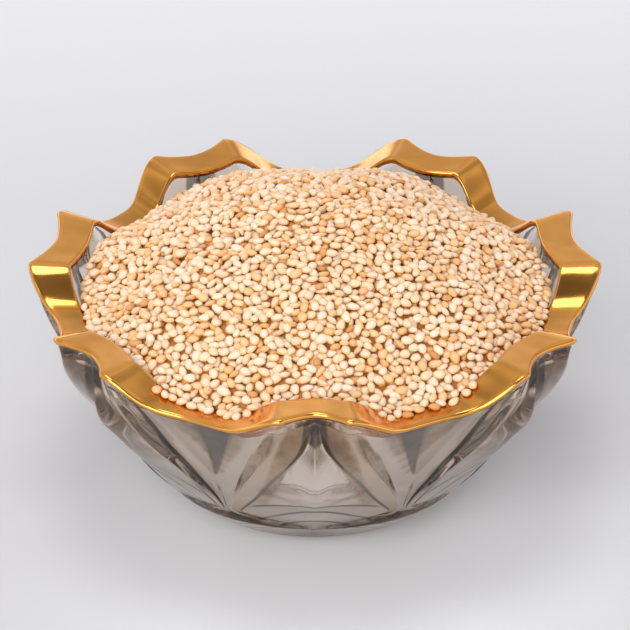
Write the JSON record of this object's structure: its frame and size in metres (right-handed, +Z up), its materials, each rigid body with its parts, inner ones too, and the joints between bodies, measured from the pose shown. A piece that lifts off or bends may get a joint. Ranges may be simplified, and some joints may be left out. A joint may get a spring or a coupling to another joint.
{
  "type": "dish of roasted sesame seeds",
  "caption": "Round dish of thick pressed clear glass with a wavy, lobed, gilded flange rim, heaped to a dome with roasted sesame seeds.",
  "frame": {"origin": "centre of the flat base, on the surface the dish rests on", "axes": "+Z up along the dish's axis; -Y towards the front, through the middle of one lobe of the rim"},
  "size_m": [0.1498, 0.1458, 0.0802],
  "materials": {
    "smoky_glass": "pressed, fire-polished",
    "gilding": "polished gilding",
    "roasted_seed": null
  },
  "bodies": {
    "root": {"bowl": "smoky_glass", "seeds": "roasted_seed"}
  },
  "joints": []
}
